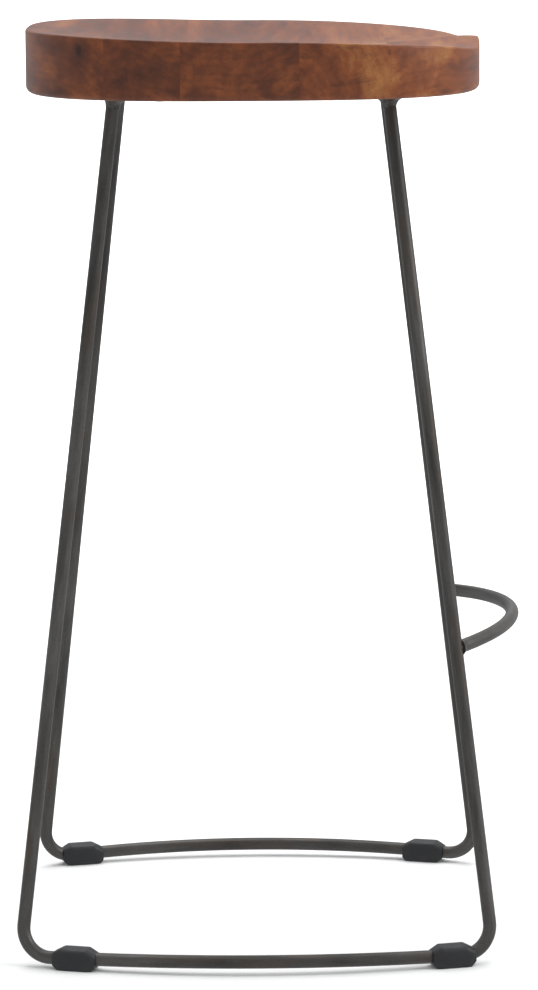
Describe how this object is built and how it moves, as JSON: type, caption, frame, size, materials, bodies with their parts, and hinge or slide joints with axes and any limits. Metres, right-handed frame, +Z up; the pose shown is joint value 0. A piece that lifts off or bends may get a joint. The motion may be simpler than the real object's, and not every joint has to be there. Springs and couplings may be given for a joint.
{
  "type": "bar stool",
  "caption": "Bar stool with a dished hardwood seat of glued boards on bent rod side frames, with a bowed front footrest and plastic floor glides.",
  "frame": {"origin": "on the floor, in the middle of the footprint (the middle of the bounding box in plan)", "axes": "+X towards the front of the stool and its footrest, +Y to the sitter's left, +Z up"},
  "size_m": [0.4202, 0.453, 0.76],
  "materials": {
    "wood": "satin clear lacquer over reddish-brown stained hardwood",
    "frame_metal": "satin gun-metal lacquer on mild steel",
    "glide_plastic": "matt moulded black",
    "screw_steel": "zinc plated"
  },
  "bodies": {
    "root": {"seat_board_back": "wood", "seat_board_rear_middle": "wood", "seat_board_middle": "wood", "seat_board_front_middle": "wood", "seat_board_front": "wood", "side_frame_left": "frame_metal", "side_frame_right": "frame_metal", "side_bar_left": "frame_metal", "side_bar_right": "frame_metal", "cross_bar_back": "frame_metal", "cross_bar_front": "frame_metal", "footrest_bow": "frame_metal", "leg_top_welds": "frame_metal", "footrest_welds": "frame_metal", "bar_welds": "frame_metal", "seat_screws": "screw_steel", "floor_glide_back_left": "glide_plastic", "floor_glide_back_right": "glide_plastic", "floor_glide_front_left": "glide_plastic", "floor_glide_front_right": "glide_plastic"}
  },
  "joints": []
}
